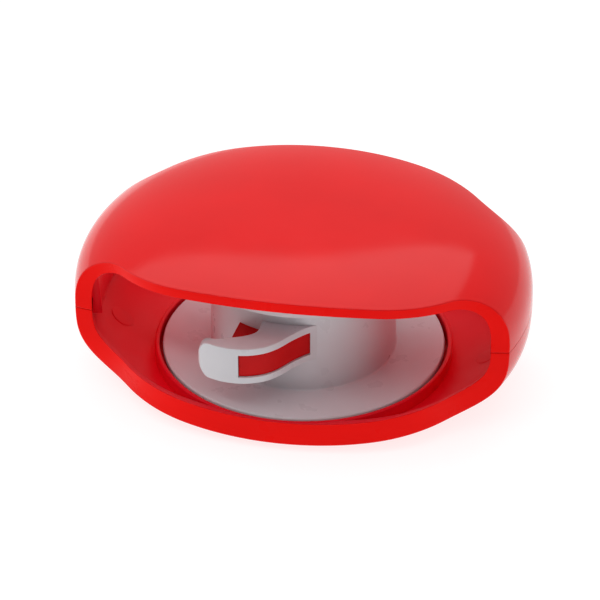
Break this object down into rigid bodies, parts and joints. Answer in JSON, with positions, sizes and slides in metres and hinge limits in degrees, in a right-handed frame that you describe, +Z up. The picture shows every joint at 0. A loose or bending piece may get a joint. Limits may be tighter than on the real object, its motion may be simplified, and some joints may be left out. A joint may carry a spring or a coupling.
{
  "type": "press-to-wind cord winder",
  "caption": "Palm-size press-to-wind cord winder: pebble shell open front and back, with a hooked spool turning inside on a spring-return helical drive.",
  "frame": {"origin": "centre of the flat rest face under the lower shell, on the spool's axis", "axes": "+Z up the spool's axis towards the crown that is pressed, +X along the length through the two end straps, -Y out of the front mouth where the hook stands at rest"},
  "size_m": [0.066, 0.0434, 0.0262],
  "materials": {
    "shell_red": "high gloss moulded",
    "spool_white": "gloss moulded",
    "pad_red": "satin soft",
    "acetal": "satin",
    "steel": "drawn"
  },
  "bodies": {
    "base": {"lower_shell": "shell_red", "spindle_post": "acetal", "post_clip": "steel", "floor_washer": "steel", "hub_washer": "steel", "spring_seat": "steel"},
    "crown": {"upper_shell": "shell_red", "drive_rod": "acetal", "rod_retainer": "acetal", "spring_follower": "acetal", "return_spring": "steel"},
    "driver": {"clutch_driver": "acetal", "cover_washer": "steel"},
    "spool": {"spool_drum": "spool_white", "spool_cover": "spool_white", "cover_screws": "steel", "cord_hook": "spool_white", "grip_pad": "pad_red", "clutch_ring": "acetal", "clutch_spring": "steel"}
  },
  "joints": [
    {"name": "press", "type": "slide", "parent": "base", "child": "crown", "axis": [0, 0, -1], "range_m": [0, 0.0025], "stiffness_N_per_m": 1200, "deforming": ["return_spring", "upper_shell"]},
    {"name": "driver_turn", "type": "hinge", "parent": "base", "child": "driver", "pos_m": [0, 0, 0.01295], "axis": [0, 0, 1], "range_deg": [-90, 0]},
    {"name": "spool_turn", "type": "hinge", "parent": "base", "child": "spool", "pos_m": [0, 0, 0.01295], "axis": [0, 0, 1], "continuous": true}
  ],
  "couplings": [
    {"joint": "driver_turn", "follows": "press", "rad_per_m": -628.32}
  ]
}
